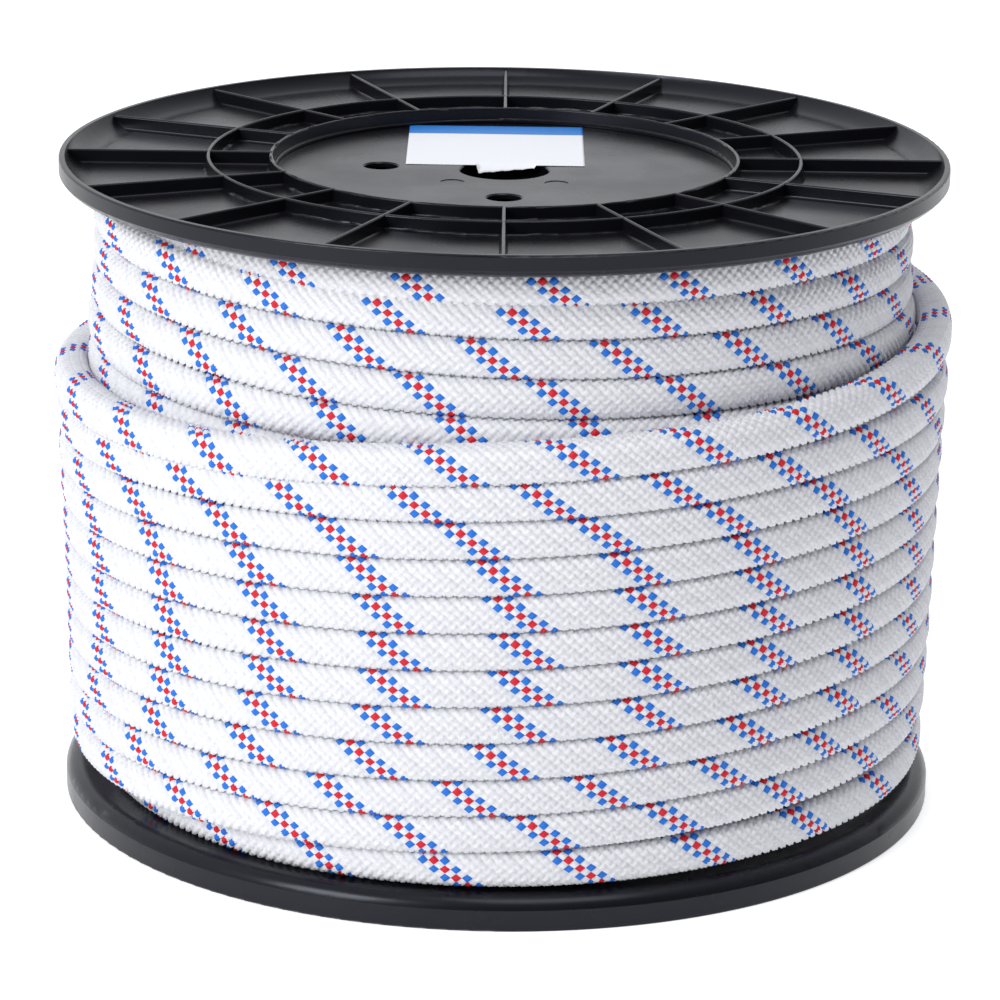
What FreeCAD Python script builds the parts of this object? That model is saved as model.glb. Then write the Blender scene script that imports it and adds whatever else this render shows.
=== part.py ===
"""A 12 mm braided dock line wound on a moulded plastic reel that stands on its lower flange.

Millimetres, +Z up along the reel's axis, origin on the axis at the surface it stands on.
A flange is drawn in its own frame, with its height counted from the face that the rope is
wound against, and is then set on one end of the barrel. The lower one has the deeper rim.
"""
import FreeCAD, Part
import math
import os

Vector = FreeCAD.Vector
UP = Vector(0, 0, 1)
AXIS = Vector(0, 0, 0)

# Flanges
flange_radius = 150.0        # outside of the rim
winding_width = 203.2        # between the two faces that the rope is wound against
upper_rim_height = 7.8       # winding face to the rim's edge
lower_rim_height = 11.4      # the same on the flange that the reel stands on
rim_wall = 2.0               # width of the rim's flat edge
rim_edge_round = 0.7
upper_shoulder = 2.8         # the winding face curves away from the rope by this much
lower_shoulder = 4.2
shoulder_width = 6.5
plate_thickness = 1.8        # disc inside the inner ring
pocket_thickness = 2.6       # floor of the pockets between the ribs
dish_width = 9.5             # from the flat floor to the rim's inner edge
dish_bend_in = 2.8           # where the dish turns up into the rim: this far inside the rim,
dish_bend_up = 1.5           # and this far above the floor
web_recess = 0.6             # tops of the rings and ribs, below the rim's edge
web_tip = 1.3                # thickness of a web at its top
web_draft = 0.25             # what each side of a web gains from its top to its root
web_root_round = 0.8
web_sink = 0.6               # how deep a web starts inside the plate that it grows from
inner_ring_radius = 78.8
outer_ring_radius = 99.9
rib_count = 16
drive_hole_radius = 5.8
drive_hole_circle = 42.0
drive_hole_angles = (-90.0, 174.0)
hole_edge_break = 0.5
pin_mark_radius = 4.0        # round marks left by the mould's ejector pins
pin_mark_circle = 26.0
pin_mark_depth = 0.2
pin_mark_angles = (-132.0, -48.0)

# Spindle and core
bore_radius = 15.0
arbor_wall = 3.0
barrel_radius = 105.5        # what the first layer of rope is wound on
barrel_wall = 2.5
socket_wall = 2.5            # collars on the winding faces that hold the arbor and the barrel
socket_height = 10.0
slip_clearance = 0.15        # between a collar and the tube that it locates

# Rope
rope_diameter = 12.0
layer_step = 11.0            # a layer lies in the grooves of the layer below
full_layers = 3
outer_layer_base = 1.0       # the part-layer starts this far above the lower winding face
outer_layer_height = 151.1   # how far up the reel the part-layer reaches
winding_round = 4.5
rope_clearance = 0.3
tail_start_angle = 45.0
tail_end_angle = 100.0
tape_thickness = 0.5
tape_angle = 10.0            # length of the tape round the rope's end, as an angle at the axis

# Label
label_width = 60.5
label_length = 63.5
label_thickness = 0.2
label_left = -33.5
label_near_edge = 7.0
label_corner_round = 1.5
label_bore_margin = 1.0

# Worked out from the values above
lower_face = lower_rim_height
upper_face = lower_face + winding_width
overall_height = upper_face + upper_rim_height
arbor_radius = bore_radius + arbor_wall
rim_inner_radius = flange_radius - rim_wall
dish_radius = rim_inner_radius - dish_width
inner_stack_radius = barrel_radius + rope_clearance + rope_diameter + (full_layers - 1) * layer_step
outer_layer_radius = inner_stack_radius + layer_step
outer_layer_top = lower_face + outer_layer_base + outer_layer_height
rope_radius = rope_diameter / 2
tape_radius = rope_radius + tape_thickness
tail_circle = inner_stack_radius + rope_clearance + tape_radius
tail_height = outer_layer_top + rope_clearance + tape_radius


def polar(radius, degrees, height=0.0):
    """A point at a radius and an angle about the reel's axis."""
    turn = math.radians(degrees)
    return Vector(radius * math.cos(turn), radius * math.sin(turn), height)


def line(start, end):
    return Part.LineSegment(start, end).toShape()


def arc(start, middle, end):
    return Part.Arc(start, middle, end).toShape()


def quarter(start, end, corner):
    """An arc from start to end that bulges towards corner, about a quarter of a circle."""
    chord_middle = (start + end) * 0.5
    bulge = chord_middle + (corner - chord_middle) * (math.sqrt(2) - 1)
    return arc(start, bulge, end)


def section(radius, height):
    """A point of a profile that is turned about the reel's axis."""
    return Vector(radius, 0, height)


def turned(edges, degrees=360.0):
    return Part.Face(Part.Wire(edges)).revolve(AXIS, UP, degrees)


def tube(outer_radius, inner_radius, base, height):
    outside = Part.makeCylinder(outer_radius, height, Vector(0, 0, base))
    inside = Part.makeCylinder(inner_radius, height, Vector(0, 0, base))
    return outside.cut(inside)


def flange_plate(rim_height, shoulder_drop):
    """The dished disc: winding face, rounded shoulder, rim, and the floor behind the ribs."""
    edge_outer = flange_radius - rim_edge_round
    points = [
        section(0, 0),
        section(flange_radius - shoulder_width, 0),
        section(flange_radius, shoulder_drop),
        section(flange_radius, rim_height - rim_edge_round),
        section(edge_outer, rim_height),
        section(rim_inner_radius, rim_height),
        section(dish_radius, pocket_thickness),
        section(inner_ring_radius, pocket_thickness),
        section(inner_ring_radius, plate_thickness),
        section(0, plate_thickness),
    ]
    dish_bend = section(rim_inner_radius - dish_bend_in, pocket_thickness + dish_bend_up)
    edges = [
        line(points[0], points[1]),
        quarter(points[1], points[2], section(flange_radius, 0)),
        line(points[2], points[3]),
        quarter(points[3], points[4], section(flange_radius, rim_height)),
        line(points[4], points[5]),
        arc(points[5], dish_bend, points[6]),
        line(points[6], points[7]),
        line(points[7], points[8]),
        line(points[8], points[9]),
        line(points[9], points[0]),
    ]
    return turned(edges)


def web_outline(centre, top, across):
    """Section of a thin moulded wall: drafted sides, a rounded tip and filleted roots.

    centre is the middle of the wall, top its height, and across a function that turns a
    distance across the wall and a height into a point.
    """
    tip = web_tip / 2
    root = tip + web_draft
    floor = pocket_thickness
    sink = floor - web_sink
    shoulder = top - tip
    right = [
        across(centre + root + web_root_round, sink),
        across(centre + root + web_root_round, floor),
        across(centre + root, floor + web_root_round),
        across(centre + tip, shoulder),
    ]
    left = [
        across(centre - tip, shoulder),
        across(centre - root, floor + web_root_round),
        across(centre - root - web_root_round, floor),
        across(centre - root - web_root_round, sink),
    ]
    return [
        line(right[0], right[1]),
        quarter(right[1], right[2], across(centre + root, floor)),
        line(right[2], right[3]),
        arc(right[3], across(centre, top), left[0]),
        line(left[0], left[1]),
        quarter(left[1], left[2], across(centre - root, floor)),
        line(left[2], left[3]),
        line(left[3], right[0]),
    ]


def ring_web(radius, top):
    return turned(web_outline(radius, top, section))


def rib_web(degrees, top):
    """One radial rib, from the inner ring to the rim. Its end is buried in the dish."""
    def across(offset, height):
        return Vector(inner_ring_radius, offset, height)

    face = Part.Face(Part.Wire(web_outline(0, top, across)))
    rib = face.extrude(Vector(rim_inner_radius - inner_ring_radius, 0, 0))
    rib.rotate(AXIS, UP, degrees)
    return rib


def inner_ring_wall():
    """What makes the inner ring's wall reach down to the thinner disc inside it."""
    outer = inner_ring_radius
    inner = inner_ring_radius - web_tip / 2 - web_draft
    base = plate_thickness - web_sink
    return tube(outer, inner, base, pocket_thickness + web_root_round - base)


def broken_hole(radius, centre):
    """A hole through the plate, opened a little at its outer edge."""
    hole = Part.makeCylinder(radius, plate_thickness + socket_height, centre - UP * socket_height)
    base = centre + UP * (plate_thickness - hole_edge_break)
    edge = Part.makeCone(radius, radius + hole_edge_break, hole_edge_break, base)
    return hole.fuse(edge)


def make_flange(rim_height, shoulder_drop):
    """One flange, with its winding face at height 0 and its rim's edge at rim_height."""
    top = rim_height - web_recess
    webs = [ring_web(inner_ring_radius, top), ring_web(outer_ring_radius, top)]
    webs.append(inner_ring_wall())
    for number in range(rib_count):
        webs.append(rib_web(-90.0 + number * 360.0 / rib_count, top))
    barrel_bore = barrel_radius - barrel_wall - slip_clearance
    collar = socket_height + web_sink
    webs.append(tube(barrel_bore, barrel_bore - socket_wall, -socket_height, collar))
    arbor_seat = arbor_radius + slip_clearance
    webs.append(tube(arbor_seat + socket_wall, arbor_seat, -socket_height, collar))
    flange = flange_plate(rim_height, shoulder_drop).fuse(webs)
    cuts = [broken_hole(bore_radius, AXIS)]
    for degrees in drive_hole_angles:
        cuts.append(broken_hole(drive_hole_radius, polar(drive_hole_circle, degrees)))
    mark_base = plate_thickness - pin_mark_depth
    for degrees in pin_mark_angles:
        centre = polar(pin_mark_circle, degrees, mark_base)
        cuts.append(Part.makeCylinder(pin_mark_radius, pin_mark_depth, centre))
    return flange.cut(cuts).removeSplitter()


def make_upper_flange():
    flange = make_flange(upper_rim_height, upper_shoulder)
    flange.translate(UP * upper_face)
    return flange


def make_lower_flange():
    """The flange at the foot, turned over so that its rim stands on the ground."""
    flange = make_flange(lower_rim_height, lower_shoulder)
    flange.rotate(AXIS, Vector(0, 1, 0), 180)
    flange.translate(UP * lower_face)
    return flange


def make_barrel():
    return tube(barrel_radius, barrel_radius - barrel_wall, lower_face, winding_width)


def make_arbor_tube():
    return tube(arbor_radius, bore_radius, lower_face, winding_width)


def make_rope_full_layers():
    """The outer shape of the layers that run from flange to flange."""
    core = barrel_radius + rope_clearance
    height = winding_width - 2 * rope_clearance
    return tube(inner_stack_radius, core, lower_face + rope_clearance, height)


def make_rope_outer_layer():
    """The outer shape of the last layer, which stops short of the upper flange."""
    base = lower_face + outer_layer_base
    round_radius = outer_layer_radius - winding_round
    points = [
        section(inner_stack_radius, base),
        section(round_radius, base),
        section(outer_layer_radius, base + winding_round),
        section(outer_layer_radius, outer_layer_top - winding_round),
        section(round_radius, outer_layer_top),
        section(inner_stack_radius, outer_layer_top),
    ]
    edges = [
        line(points[0], points[1]),
        quarter(points[1], points[2], section(outer_layer_radius, base)),
        line(points[2], points[3]),
        quarter(points[3], points[4], section(outer_layer_radius, outer_layer_top)),
        line(points[4], points[5]),
        line(points[5], points[0]),
    ]
    return turned(edges)


def bent_rod(radius, start_angle, end_angle):
    """A round rod that follows the rope's free end round the reel."""
    centre = section(tail_circle, tail_height)
    circle = Part.Circle(centre, Vector(0, 1, 0), radius).toShape()
    rod = turned([circle], end_angle - start_angle)
    rod.rotate(AXIS, UP, start_angle)
    return rod


def make_rope_tail():
    return bent_rod(rope_radius, tail_start_angle, tail_end_angle)


def make_rope_end_tape():
    """A band of tape round the cut end, which keeps the braid from opening."""
    start = tail_end_angle - tape_angle
    band = bent_rod(tape_radius, start, tail_end_angle)
    return band.cut(bent_rod(rope_radius, start, tail_end_angle))


def make_label():
    """A paper sticker on the disc behind the bore, trimmed clear of the bore."""
    floor = upper_face + plate_thickness
    corner = Vector(label_left, label_near_edge, floor)
    sheet = Part.makeBox(label_width, label_length, label_thickness, corner)
    uprights = [edge for edge in sheet.Edges if abs(edge.tangentAt(0).z) > 0.9]
    sheet = sheet.makeFillet(label_corner_round, uprights)
    clear = Part.makeCylinder(bore_radius + label_bore_margin, label_thickness, UP * floor)
    return sheet.cut(clear)


SUB_PARTS = {
    "upper_flange": make_upper_flange,
    "lower_flange": make_lower_flange,
    "barrel": make_barrel,
    "arbor_tube": make_arbor_tube,
    "rope_full_layers": make_rope_full_layers,
    "rope_outer_layer": make_rope_outer_layer,
    "rope_tail": make_rope_tail,
    "rope_end_tape": make_rope_end_tape,
    "label": make_label,
}


def main():
    os.makedirs("parts", exist_ok=True)
    for name, make in SUB_PARTS.items():
        shape = make()
        shape.exportStep("parts/" + name + ".step")
        size = shape.BoundBox
        print(name, "valid", shape.isValid(), "solids", len(shape.Solids),
              "volume cm3", round(shape.Volume / 1000, 1),
              "box", [round(v, 2) for v in (size.XMin, size.YMin, size.ZMin,
                                            size.XMax, size.YMax, size.ZMax)])
    print("overall height", overall_height)


main()
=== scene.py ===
"""A braided dock line on a plastic reel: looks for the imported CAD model, in metres, Z up.

An angle about the reel is counted in turns from the front (-Y), anticlockwise seen from above,
which is also the way that the rope runs from its inner end to its outer one.
"""
import bpy
import math
import numpy as np
from mathutils import Matrix, Vector


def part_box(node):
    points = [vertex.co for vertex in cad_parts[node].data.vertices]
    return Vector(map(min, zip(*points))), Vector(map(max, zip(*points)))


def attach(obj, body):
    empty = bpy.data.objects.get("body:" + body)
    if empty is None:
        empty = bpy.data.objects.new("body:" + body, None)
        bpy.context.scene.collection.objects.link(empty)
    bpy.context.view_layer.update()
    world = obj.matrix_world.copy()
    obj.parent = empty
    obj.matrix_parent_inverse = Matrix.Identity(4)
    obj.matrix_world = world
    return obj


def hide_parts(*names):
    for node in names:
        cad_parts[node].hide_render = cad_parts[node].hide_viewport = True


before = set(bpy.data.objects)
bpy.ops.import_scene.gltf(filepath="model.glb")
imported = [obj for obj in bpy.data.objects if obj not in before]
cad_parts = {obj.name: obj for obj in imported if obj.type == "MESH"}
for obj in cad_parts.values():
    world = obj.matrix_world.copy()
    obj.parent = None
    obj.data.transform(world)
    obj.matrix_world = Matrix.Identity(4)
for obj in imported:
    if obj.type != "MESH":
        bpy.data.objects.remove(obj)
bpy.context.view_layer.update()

MM = 0.001
ROPE_DIAMETER = 12 * MM


def smooth(t):
    """0 below 0, 1 above 1, and a smooth step between."""
    t = np.clip(t, 0, 1)
    return t * t * (3 - 2 * t)


def step_between(value, start, end):
    return float(smooth((value - start) / (end - start)))


# ---------------------------------------------------------------- camera

CAMERA_PLACE = (0, -1.5495, 0.5556)
CAMERA_PITCH = 16.379       # degrees below the horizon
CAMERA_ROLL = 0.776
camera_data = bpy.data.cameras.new("camera")
camera_data.lens = 168.6
camera_data.sensor_width = 36
camera = bpy.data.objects.new("camera", camera_data)
camera.matrix_world = (
    Matrix.Translation(CAMERA_PLACE)
    @ Matrix.Rotation(math.radians(90 - CAMERA_PITCH), 4, "X")
    @ Matrix.Rotation(math.radians(CAMERA_ROLL), 4, "Z")
)
bpy.context.scene.collection.objects.link(camera)
bpy.context.scene.camera = camera

# ---------------------------------------------------------------- the rope's route

layers_low, layers_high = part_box("rope_full_layers")
tail_low, tail_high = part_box("rope_tail")
barrel_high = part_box("barrel")[1]

TURN_RADIUS = ROPE_DIAMETER / 2
BOTTOM_Z = layers_low.z + TURN_RADIUS              # middle of a turn that lies on a flange
TOP_Z = layers_high.z - TURN_RADIUS
TAIL_Z = (tail_low.z + tail_high.z) / 2

POINTS_PER_TURN = 16
SLACK = 0.3 * MM                                   # between the barrel and the first layer
CORE_PITCH = 12.3 * MM                             # the two hidden layers
CORE_TURNS = 15.55                                 # in each of them
FIRST_RADIUS = barrel_high.x + SLACK + TURN_RADIUS
SECOND_RADIUS = FIRST_RADIUS + 10.8 * MM
RAMP_TURNS = 0.33                                  # what a rope takes to climb onto the next layer
RAMP_REST = 0.02                                   # the climb onto the third ends this much early
SECOND_WAIT = 0.2                                  # turns before the second layer starts to rise

THIRD_PITCH = 12.67 * MM                           # the layer that shows at the top, winding down
THIRD_Z = TOP_Z + 2.8 * MM                         # height at turn 0, before the flange stops it
THIRD_RADIUS = 132.4 * MM
THIRD_BULGE = 2.6 * MM                             # it stands out by this much round turn 4.3
THIRD_BULGE_AT = (4.3, 1.6)                        # turn, and half width in turns
THIRD_CROSSING = (1.3, -50 / 360)                  # amount and place, for crossing()

OUTER_FROM = 16                                    # the turn from which outer turns are counted
OUTER_PITCH = 12.37 * MM                           # the outside layer, winding up
OUTER_Z = BOTTOM_Z + 1.5 * MM
OUTER_START = -0.21                                # where it begins to climb onto the third layer
OUTER_FLAT = 0.05                                  # where it has finished climbing
OUTER_MIDDLE = 5.5
OUTER_RADII = (143.8 * MM, 1.9 * MM, 0.7 * MM)     # at the middle, and what grows towards the top
OUTER_CROSSING = (0.5, 2.2, -10 / 360)             # amounts at the first turn and after it, place
OUTER_SETTLES = (0.2, 0.8)                         # turns between which the amount changes
OUTER_DIP = 2.6 * MM                               # the last turn sinks between two third turns
OUTER_DIP_AT = (10.885, 0.07)

TAIL_RISE = (11.08, 11.38)
TAPE_START = 11 + 180 / 360
TAIL_END = 11 + 190 / 360
TAIL_RADIUS = tail_high.y - TURN_RADIUS


def crossing(turn, amount, centre):
    """Turns counted so that most of each one's rise falls where it crosses the layer below."""
    swing = math.sin(2 * math.pi * (turn - centre)) + math.sin(2 * math.pi * centre)
    return turn + amount / (2 * math.pi) * swing


def hump(turn, place):
    """1 at a turn, and falling off on both sides of it; place is the turn and a half width."""
    return math.exp(-((turn - place[0]) / place[1]) ** 2)


def third_place(turn):
    radius = THIRD_RADIUS + THIRD_BULGE * hump(turn, THIRD_BULGE_AT)
    height = THIRD_Z - THIRD_PITCH * crossing(turn, *THIRD_CROSSING)
    return radius, min(max(height, BOTTOM_Z), TOP_Z)


def outer_place(turn):
    share = (turn - OUTER_MIDDLE) / OUTER_MIDDLE
    radius = OUTER_RADII[0] + OUTER_RADII[1] * share + OUTER_RADII[2] * share ** 3
    first, later, centre = OUTER_CROSSING
    amount = first + (later - first) * step_between(turn, *OUTER_SETTLES)
    height = OUTER_Z + OUTER_PITCH * crossing(turn, amount, centre)
    height -= OUTER_DIP * hump(turn, OUTER_DIP_AT)
    rise = step_between(turn, *TAIL_RISE)
    height += (TAIL_Z - height) * rise
    radius += (TAIL_RADIUS - radius) * rise
    return radius, max(height, BOTTOM_Z)


def route_place(turn):
    """Radius and height of the rope's middle, turn 0 being where the third layer starts."""
    outer_turn = turn - OUTER_FROM
    if turn < -RAMP_TURNS - CORE_TURNS:
        done = turn + RAMP_TURNS + 2 * CORE_TURNS
        height = TOP_Z - CORE_PITCH * done
        return FIRST_RADIUS, max(height, BOTTOM_Z)
    if turn < -RAMP_TURNS:
        done = turn + RAMP_TURNS + CORE_TURNS
        climb = step_between(done, 0, RAMP_TURNS)
        height = BOTTOM_Z + CORE_PITCH * max(done - SECOND_WAIT, 0)
        return FIRST_RADIUS + (SECOND_RADIUS - FIRST_RADIUS) * climb, min(height, TOP_Z)
    if outer_turn < OUTER_START:
        radius, height = third_place(turn)
        climb = step_between(turn, -RAMP_TURNS, -RAMP_REST)
        return SECOND_RADIUS + (radius - SECOND_RADIUS) * climb, height
    radius, height = outer_place(outer_turn)
    below = third_place(turn)[0]
    climb = step_between(outer_turn, OUTER_START, OUTER_FLAT)
    return below + (radius - below) * climb, height


first_turn = -RAMP_TURNS - 2 * CORE_TURNS
last_turn = OUTER_FROM + TAIL_END
count = math.ceil((last_turn - first_turn) * POINTS_PER_TURN) + 1
route_data = bpy.data.curves.new("rope_route", "CURVE")
route_data.dimensions = "3D"
route_data.resolution_u = 12
spline = route_data.splines.new("NURBS")
spline.points.add(count - 1)
# The spline cuts inside its control points, so they stand this much further out.
bulge = 1 / (0.75 + 0.25 * math.cos(2 * math.pi / POINTS_PER_TURN))
for number in range(count):
    turn = first_turn + (last_turn - first_turn) * number / (count - 1)
    radius, height = route_place(turn)
    radius *= bulge
    angle = 2 * math.pi * turn
    spline.points[number].co = (radius * math.sin(angle), -radius * math.cos(angle), height, 1)
spline.order_u = 3
spline.use_endpoint_u = True
route = bpy.data.objects.new("rope_route", route_data)
route_mesh = bpy.data.meshes.new_from_object(route)
line = np.array([v.co for v in route_mesh.vertices])
bpy.data.meshes.remove(route_mesh)
bpy.data.objects.remove(route)
bpy.data.curves.remove(route_data)

line_turn = np.unwrap(np.arctan2(line[:, 0], -line[:, 1])) / (2 * math.pi)
line_turn += round(first_turn - line_turn[0])
line_radius = np.hypot(line[:, 0], line[:, 1])
line_height = line[:, 2]

slope_radius = np.gradient(line_radius, line_turn)
slope_height = np.gradient(line_height, line_turn)


def along_route(turn):
    """Middle of the rope, the way outwards from it and the way up, at each of these turns."""
    angle = 2 * math.pi * turn
    radius = np.interp(turn, line_turn, line_radius)
    out = np.stack([np.sin(angle), -np.cos(angle), 0 * angle], 1)
    ahead = np.stack([np.cos(angle), np.sin(angle), 0 * angle], 1)
    rise = np.array([[0.0, 0.0, 1.0]])
    middle = out * radius[:, None] + rise * np.interp(turn, line_turn, line_height)[:, None]
    tangent = ahead * (2 * math.pi * radius)[:, None]
    tangent = tangent + out * np.interp(turn, line_turn, slope_radius)[:, None]
    tangent = tangent + rise * np.interp(turn, line_turn, slope_height)[:, None]
    tangent /= np.linalg.norm(tangent, axis=1, keepdims=True)
    out = out - tangent * (out * tangent).sum(1, keepdims=True)
    out /= np.linalg.norm(out, axis=1, keepdims=True)
    return middle, out, np.cross(out, tangent)


# ---------------------------------------------------------------- the braid

WHITE, BLUE, RED, PALE = range(4)    # material slots of the rope
TRACER_STRANDS = {0: BLUE, 1: RED, 2: BLUE}
STRANDS = 24                 # 12 run each way
STEP = 4                     # lattice points across one visible patch of a strand
COLUMNS = STRANDS * STEP     # lattice columns round the rope
CREST = 0.95 * MM            # from the valley between two patches to the crown of a yarn
RIDGE = (0.58, 1.0, 0.0)     # height across a strand: groove between its two yarns, crown, edge
CROWN = (1.0, 0.85, 0.0)     # height along a strand, from the middle of a patch to its ends
SECTION_POWER = 3.0          # a turn pressed between its neighbours is a little square
HALF_OUT = 5.20 * MM
HALF_UP = 5.80 * MM
TAPE_SQUEEZE = 0.14          # how much thinner the tape holds the rope's end
TAPE_LEAD = 0.012            # turns over which the rope narrows before the tape
END_ROWS = 16                # rows that close the rope's end
END_CLOSED = 0.97            # how far towards the middle they close it
THIRD_TRACERS = 20.22        # times a tracer comes round in one turn
THIRD_STRETCH = (0.25, 2, 1.5)       # what more it gains: amount, from which turn, power
THIRD_PHASE = -0.455
OUTER_TRACERS = 22.0
OUTER_STRETCH = (0.672, 0.917)       # the same, as square and fourth power of the layer's share
OUTER_PHASE = -0.304


def third_braid(turn):
    amount, start, power = THIRD_STRETCH
    return THIRD_TRACERS * turn + amount * np.maximum(turn - start, 0) ** power + THIRD_PHASE


def outer_braid(turn):
    outer_turn = turn - OUTER_FROM
    share = (outer_turn - OUTER_MIDDLE) / OUTER_MIDDLE
    stretch = OUTER_STRETCH[0] * share ** 2 + OUTER_STRETCH[1] * share ** 4
    return OUTER_TRACERS * outer_turn + stretch + OUTER_PHASE


def surface_points(turn, phi, lift):
    """Points on the rope's skin. phi goes from outwards over down, and lift is the relief."""
    middle, out, up = along_route(turn)
    c, s = np.cos(phi), np.sin(phi)
    reach = (np.abs(c / HALF_OUT) ** SECTION_POWER + np.abs(s / HALF_UP) ** SECTION_POWER)
    reach = reach ** (-1 / SECTION_POWER)
    side = out * c[:, None] - up * s[:, None]
    taped = smooth((turn - OUTER_FROM - TAPE_START) / TAPE_LEAD + 1)
    return middle, side, (reach + lift) * (1 - TAPE_SQUEEZE * taped)


def braid_shell(start, end, braid, fine_range):
    """Points, the polygons' corner numbers and sizes, and a material slot for each polygon."""
    table_turn = np.linspace(start - 0.1, end + 0.1, 4000)
    table_row = braid(table_turn) * STRANDS * STEP
    first_row = math.ceil(np.interp(start, table_turn, table_row) / STEP) * STEP
    last_row = math.floor(np.interp(end, table_turn, table_row) / STEP) * STEP
    low, high = first_row - END_ROWS, last_row + END_ROWS
    rows = np.arange(low - STEP, high + STEP + 1)
    half = COLUMNS // 2
    row = np.repeat(rows, half)
    column = (2 * np.tile(np.arange(half), len(rows)) + row % 2) % COLUMNS

    def number(a, b):
        return (b - rows[0]) * half + (a % COLUMNS) // 2

    order = number(column, row)
    row = row[np.argsort(order)]
    column = column[np.argsort(order)]
    p, q = (column + row) / 2, (column - row) / 2
    p_near, q_near = np.round(p / STEP), np.round(q / STEP)
    p_off = np.abs(p - p_near * STEP).astype(int)
    q_off = np.abs(q - q_near * STEP).astype(int)
    right_laid = (p_near + q_near) % 2 == 0
    along = np.where(right_laid, p_off, q_off)
    across = np.where(right_laid, q_off, p_off)
    lift = CREST * np.array(CROWN)[along] * np.array(RIDGE)[across]
    turn = np.interp(row, table_row, table_turn)
    shut = np.maximum(first_row - row, row - last_row) / END_ROWS
    shut = np.clip(shut, 0, 1)
    turn = np.clip(turn, np.interp(first_row, table_row, table_turn),
                   np.interp(last_row, table_row, table_turn))
    phi = 2 * math.pi * column / COLUMNS
    middle, side, reach = surface_points(turn, phi, lift)
    points = middle + side * (reach * (1 - END_CLOSED * shut))[:, None]

    cell_rows = np.arange(math.ceil(low / STEP), high // STEP + 1)
    cell_b = np.repeat(cell_rows, STRANDS // 2)
    cell_a = (2 * np.tile(np.arange(STRANDS // 2), len(cell_rows)) + cell_b % 2) % STRANDS

    def is_fine(a, b):
        low_a, high_a = fine_range(np.interp(b * STEP, table_row, table_turn))
        signed = (a + STRANDS // 2) % STRANDS - STRANDS // 2
        inside = (b * STEP >= low) & (b * STEP <= high)
        return (signed >= low_a) & (signed <= high_a) & inside

    def colour(a, b):
        p0, q0 = (a + b) // 2, (a - b) // 2
        strand = q0 % (STRANDS // 2)
        on_top = (p0 + q0) % 2 == 0
        found = np.where(strand % 3 == 0, PALE, WHITE)
        for tracer, slot in TRACER_STRANDS.items():
            found = np.where(on_top & (strand == tracer), slot, found)
        return found

    loops, sizes, colours = [], [], []
    fine = is_fine(cell_a, cell_b)
    # Fine cells are split into STEP x STEP quads, each round a point that isn't in the lattice.
    a0, b0 = cell_a[fine] * STEP, cell_b[fine] * STEP
    shade = colour(cell_a[fine], cell_b[fine])
    for i in range(STEP):
        for j in range(STEP):
            a = a0 + (i + j) - (STEP - 1)
            b = b0 + (i - j)
            quad = [number(a - 1, b), number(a, b - 1), number(a + 1, b), number(a, b + 1)]
            loops.append(np.stack(quad, 1).ravel())
            sizes.append(np.full(len(a), 4))
            colours.append(shade)
    # A coarse cell is one polygon, with the extra corners of any fine neighbour.
    ca, cb = cell_a[~fine], cell_b[~fine]
    edges = [((-1, 0), (0, -1)), ((0, -1), (1, 0)), ((1, 0), (0, 1)), ((0, 1), (-1, 0))]
    beside = [is_fine(ca + s[0] + e[0], cb + s[1] + e[1]) for s, e in edges]
    kind = sum(found.astype(int) << k for k, found in enumerate(beside))
    for value in np.unique(kind):
        a, b = ca[kind == value] * STEP, cb[kind == value] * STEP
        corners = []
        for k, (s, e) in enumerate(edges):
            extra = STEP if value >> k & 1 else 1
            for part in range(extra):
                a_off = s[0] * (STEP - part) + e[0] * part
                b_off = s[1] * (STEP - part) + e[1] * part
                corners.append(number(a + a_off, b + b_off))
        loops.append(np.stack(corners, 1).ravel())
        sizes.append(np.full(len(a), len(corners)))
        colours.append(colour(ca[kind == value], cb[kind == value]))
    # The zigzag left at each end is closed with one small polygon.
    for cell_row, way in ((cell_rows[0], -1), (cell_rows[-1], 1)):
        rim = []
        for a in range(STRANDS):
            on_row = (a - cell_row) % 2 == 0
            b = cell_row + way if on_row else cell_row
            rim.append(int(number(a * STEP, b * STEP)))
        rim = rim if way > 0 else rim[::-1]
        loops.append(np.array(rim))
        sizes.append(np.array([len(rim)]))
        colours.append(np.array([WHITE]))
    return points, np.concatenate(loops), np.concatenate(sizes), np.concatenate(colours)


def plain_shell(start, end):
    """The same rope where other turns hide it: a plain tube."""
    sides, rings_per_turn = 12, 60
    rings = np.linspace(start, end, max(2, int((end - start) * rings_per_turn)))
    turn = np.repeat(rings, sides)
    phi = np.tile(np.arange(sides) * 2 * math.pi / sides, len(rings))
    middle, side, reach = surface_points(turn, phi, 0 * turn)
    points = middle + side * reach[:, None]
    ring, place = np.divmod(np.arange((len(rings) - 1) * sides), sides)
    after = (place + 1) % sides
    quads = [ring * sides + place, ring * sides + after,
             (ring + 1) * sides + after, (ring + 1) * sides + place]
    quads = np.stack(quads, 1)
    caps = np.concatenate([np.arange(sides)[::-1], np.arange(sides) + (len(rings) - 1) * sides])
    loops = np.concatenate([quads.ravel(), caps])
    sizes = np.concatenate([np.full(len(quads), 4), [sides, sides]])
    return points, loops, sizes, np.zeros(len(sizes), int)


# Cells that get the fine relief: how many on each side of straight outwards, up first.
SIDE_CELLS = (-7, 7)
TOP_CELLS = (-11, 8)         # for the last outer turn, whose upper side shows
TOP_FROM = OUTER_FROM + 10.4


def third_fine(turn):
    return SIDE_CELLS[0] + 0 * turn, SIDE_CELLS[1] + 0 * turn


def outer_fine(turn):
    top = turn > TOP_FROM
    return np.where(top, TOP_CELLS[0], SIDE_CELLS[0]), np.where(top, TOP_CELLS[1], SIDE_CELLS[1])


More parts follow.
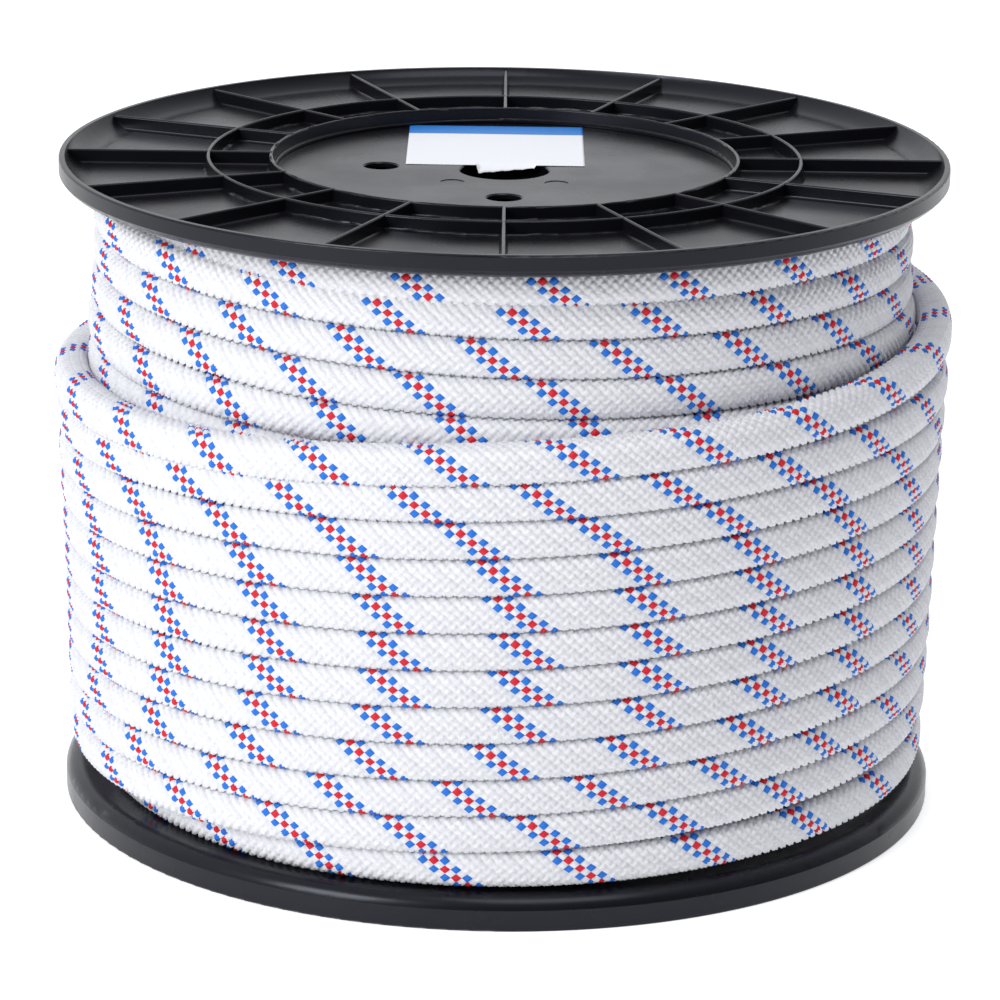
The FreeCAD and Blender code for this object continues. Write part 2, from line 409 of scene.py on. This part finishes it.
# The turns that show are braided, and a plain stretch reaches a little way into a braided one.
THIRD_FROM = -RAMP_TURNS - 0.12
THIRD_TO = 5.7
OUTER_SHOWN = 15.62
BRAID_END = last_turn - 0.001
shells = [
    plain_shell(first_turn, -RAMP_TURNS - 0.1),
    braid_shell(THIRD_FROM, THIRD_TO, third_braid, third_fine),
    plain_shell(THIRD_TO - 0.01, OUTER_SHOWN + 0.01),
    braid_shell(OUTER_SHOWN, BRAID_END, outer_braid, outer_fine),
]


def mesh_from(name, parts):
    """One mesh from several (points, loops, sizes, slots)."""
    offsets = np.cumsum([0] + [len(part[0]) for part in parts])
    points = np.concatenate([part[0] for part in parts])
    loops = np.concatenate([part[1] + offset for part, offset in zip(parts, offsets)])
    sizes = np.concatenate([part[2] for part in parts])
    slots = np.concatenate([part[3] for part in parts])
    used, loops = np.unique(loops, return_inverse=True)
    points = points[used]
    mesh = bpy.data.meshes.new(name)
    mesh.vertices.add(len(points))
    mesh.vertices.foreach_set("co", points.astype(np.float32).ravel())
    mesh.loops.add(len(loops))
    mesh.loops.foreach_set("vertex_index", loops.astype(np.int32).ravel())
    mesh.polygons.add(len(sizes))
    starts = np.concatenate([[0], np.cumsum(sizes)[:-1]])
    mesh.polygons.foreach_set("loop_start", starts.astype(np.int32))
    mesh.polygons.foreach_set("material_index", slots.astype(np.int32))
    mesh.update(calc_edges=True)
    mesh.validate()
    mesh.shade_smooth()
    return mesh


rope = bpy.data.objects.new("rope", mesh_from("rope", shells))
bpy.context.scene.collection.objects.link(rope)
print("rope polygons", len(rope.data.polygons))

# ---------------------------------------------------------------- materials


def new_material(name, colour, roughness):
    """A material with one Principled shader, and its nodes, links, shader and output."""
    material = bpy.data.materials.new(name)
    material.use_nodes = True
    nodes, links = material.node_tree.nodes, material.node_tree.links
    shader = nodes["Principled BSDF"]
    shader.inputs["Base Color"].default_value = (*colour, 1)
    shader.inputs["Roughness"].default_value = roughness
    return material, nodes, links, shader


def noise(nodes, links, scale, detail):
    """A noise texture, with scale in periods per metre."""
    place = nodes.new("ShaderNodeTexCoord")
    texture = nodes.new("ShaderNodeTexNoise")
    texture.inputs["Scale"].default_value = scale
    texture.inputs["Detail"].default_value = detail
    links.new(place.outputs["Object"], texture.inputs["Vector"])
    return texture.outputs["Fac"]


def spread_to(nodes, links, source, low, high, from_low=0.3, from_high=0.7):
    """A value moved from one range to another."""
    spread = nodes.new("ShaderNodeMapRange")
    spread.inputs["From Min"].default_value = from_low
    spread.inputs["From Max"].default_value = from_high
    spread.inputs["To Min"].default_value = low
    spread.inputs["To Max"].default_value = high
    links.new(source, spread.inputs["Value"])
    return spread.outputs["Result"]


def bump(nodes, links, height, distance):
    node = nodes.new("ShaderNodeBump")
    node.inputs["Distance"].default_value = distance
    node.inputs["Strength"].default_value = 1
    links.new(height, node.inputs["Height"])
    return node.outputs["Normal"]


def yarn(name, colour, sheen):
    """Polyester filament yarn. Its fine unevenness is a displacement used as a bump."""
    material, nodes, links, shader = new_material(name, colour, 0.62)
    shader.inputs["Specular IOR Level"].default_value = 0.4
    shader.inputs["Sheen Weight"].default_value = sheen
    shader.inputs["Sheen Roughness"].default_value = 0.4
    fibres = noise(nodes, links, 2600, 3)
    displace = nodes.new("ShaderNodeDisplacement")
    displace.inputs["Scale"].default_value = 0.16 * MM
    displace.inputs["Midlevel"].default_value = 0.5
    links.new(fibres, displace.inputs["Height"])
    links.new(displace.outputs["Displacement"], nodes["Material Output"].inputs["Displacement"])
    return material


YARNS = (                            # in the order of the rope's slots
    ("white_yarn", (0.80, 0.81, 0.84), 0.15),
    ("blue_yarn", (0.010, 0.17, 0.68), 0.0),
    ("red_yarn", (0.66, 0.008, 0.026), 0.0),
    ("pale_yarn", (0.76, 0.77, 0.81), 0.15),
)
for name, colour, sheen in YARNS:
    rope.data.materials.append(yarn(name, colour, sheen))


def plastic(name, colour, roughness, grain_depth):
    """Moulded polypropylene with a fine satin grain, shallow waves and slightly uneven gloss."""
    material, nodes, links, shader = new_material(name, colour, roughness)
    shader.inputs["Specular IOR Level"].default_value = 0.3
    shader.inputs["Specular Tint"].default_value = (0.84, 0.87, 1, 1)
    uneven = noise(nodes, links, 28, 4)
    links.new(spread_to(nodes, links, uneven, roughness - 0.05, roughness + 0.07),
              shader.inputs["Roughness"])
    grain = noise(nodes, links, 2400, 2)
    waves = noise(nodes, links, 45, 1)
    relief = nodes.new("ShaderNodeMath")
    relief.operation = "MULTIPLY_ADD"
    relief.inputs[1].default_value = 6           # the waves are six times as deep as the grain
    links.new(waves, relief.inputs[0])
    links.new(grain, relief.inputs[2])
    links.new(bump(nodes, links, relief.outputs[0], grain_depth), shader.inputs["Normal"])
    return material


def dress(node, material):
    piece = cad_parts[node]
    piece.data.materials.clear()
    piece.data.materials.append(material)


reel_plastic = plastic("reel_plastic", (0.004, 0.004, 0.006), 0.26, 0.01 * MM)
for node in ("upper_flange", "lower_flange", "barrel", "arbor_tube"):
    dress(node, reel_plastic)

tape_material, nodes, links, shader = new_material("end_tape", (0.02, 0.02, 0.022), 0.3)
creases = noise(nodes, links, 300, 3)
links.new(spread_to(nodes, links, creases, 0.22, 0.42), shader.inputs["Roughness"])
links.new(bump(nodes, links, creases, 0.2 * MM), shader.inputs["Normal"])
dress("rope_end_tape", tape_material)

# ---------------------------------------------------------------- the label

label_low, label_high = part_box("label")
LABEL_CELL = 0.75 * MM                             # size of the grid it is bent on
LABEL_THICKNESS = 0.15 * MM
LABEL_WAVE = 0.05 * MM
FLAP = (-8.8 * MM, 10.4 * MM)                      # the torn part that hangs into the bore
FLAP_DEPTH = 3.5 * MM
BAND_DEPTH = 13.5 * MM
across = np.arange(label_low.x, label_high.x + LABEL_CELL / 2, LABEL_CELL)
along = np.arange(label_low.y, label_high.y + LABEL_CELL / 2, LABEL_CELL)
x, y = np.meshgrid(across, along)
share = (x - FLAP[0]) / (FLAP[1] - FLAP[0])
inside_flap = np.where((share > 0) & (share < 1), 1.0, 0.0)
near = np.clip(1 - (y - label_low.y) / FLAP_DEPTH, 0, 1)
ragged = 0.10 * np.sin(x / MM * 1.3) + 0.06 * np.sin(x / MM * 3.1 + 1)
hang = (2.6 - 1.7 * share + ragged) * MM           # how far it hangs, from left to right
y_bent = y - near * inside_flap * 0.4 * hang
drop = near ** 1.5 * inside_flap * hang
wave = LABEL_WAVE * np.sin(x / (9 * MM)) * np.sin(y / (13 * MM) + 1)
z = label_high.z + wave - drop
rows, columns = x.shape
grid = np.stack([x, y_bent, z], -1).reshape(-1, 3)
cell_r, cell_c = np.divmod(np.arange((rows - 1) * (columns - 1)), columns - 1)
corner = cell_r * columns + cell_c
quads = np.stack([corner, corner + 1, corner + columns + 1, corner + columns], 1)
band_from = label_high.y - BAND_DEPTH
middle_y = label_low.y + (cell_r + 0.5) * LABEL_CELL
slots = (middle_y > band_from).astype(int)
sheet = (grid, quads.ravel(), np.full(len(quads), 4), slots)
label = bpy.data.objects.new("paper_label", mesh_from("paper_label", [sheet]))
bpy.context.scene.collection.objects.link(label)
thicken = label.modifiers.new("thickness", "SOLIDIFY")
thicken.thickness = LABEL_THICKNESS
thicken.offset = -1
for name, colour in (("label_paper", (0.80, 0.82, 0.86)), ("label_band", (0.02, 0.20, 0.62))):
    material, nodes, links, shader = new_material(name, colour, 0.45)
    fibre = noise(nodes, links, 900, 4)
    links.new(spread_to(nodes, links, fibre, 0.36, 0.52), shader.inputs["Roughness"])
    links.new(bump(nodes, links, fibre, 0.02 * MM), shader.inputs["Normal"])
    label.data.materials.append(material)

# ---------------------------------------------------------------- floor and light

FLOOR_RADIUS = 8
FLOOR_SIDES = 64
floor_mesh = bpy.data.meshes.new("floor")
ring = []
for side in range(FLOOR_SIDES):
    angle = 2 * math.pi * side / FLOOR_SIDES
    ring.append((FLOOR_RADIUS * math.cos(angle), FLOOR_RADIUS * math.sin(angle), 0))
floor_mesh.from_pydata(ring, [], [tuple(range(FLOOR_SIDES))])
floor = bpy.data.objects.new("floor", floor_mesh)
bpy.context.scene.collection.objects.link(floor)
floor_material, nodes, links, shader = new_material("floor", (0.86, 0.86, 0.87), 0.5)
shader.inputs["Specular IOR Level"].default_value = 0.3
shader.inputs["Emission Color"].default_value = (1, 1, 1, 1)
shader.inputs["Emission Strength"].default_value = 0.50
floor_mesh.materials.append(floor_material)

# The room is bright at the back left and above, and darker in front and at the right.
ROOM_BRIGHT_SIDE = (-0.45, 0.80, 0.40)
ROOM_RANGE = (0.14, 1.02)
world = bpy.data.worlds.new("studio")
bpy.context.scene.world = world
world.use_nodes = True
nodes, links = world.node_tree.nodes, world.node_tree.links
direction = nodes.new("ShaderNodeTexCoord")
toward_back = nodes.new("ShaderNodeVectorMath")
toward_back.operation = "DOT_PRODUCT"
toward_back.inputs[1].default_value = ROOM_BRIGHT_SIDE
links.new(direction.outputs["Generated"], toward_back.inputs[0])
room = spread_to(nodes, links, toward_back.outputs["Value"], *ROOM_RANGE, -0.7, 0.8)
links.new(room, nodes["Background"].inputs["Strength"])
nodes["Background"].inputs["Color"].default_value = (0.96, 0.97, 1, 1)
bpy.context.scene.view_settings.view_transform = "Standard"


def softbox(name, place, aim, size, power):
    data = bpy.data.lights.new(name, "AREA")
    data.size, data.energy = size, power
    lamp = bpy.data.objects.new(name, data)
    lamp.location = place
    lamp.rotation_euler = (Vector(aim) - Vector(place)).to_track_quat("-Z", "Y").to_euler()
    bpy.context.scene.collection.objects.link(lamp)


softbox("key", (-1.3, -1.3, 1.15), (0, 0, 0.12), 0.9, 23)
softbox("top", (0.25, -0.6, 1.6), (0, 0, 0.1), 0.8, 6)

# ---------------------------------------------------------------- riding on the frame

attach(rope, "root")
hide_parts("rope_full_layers", "rope_outer_layer", "rope_tail")
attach(label, "root")
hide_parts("label")
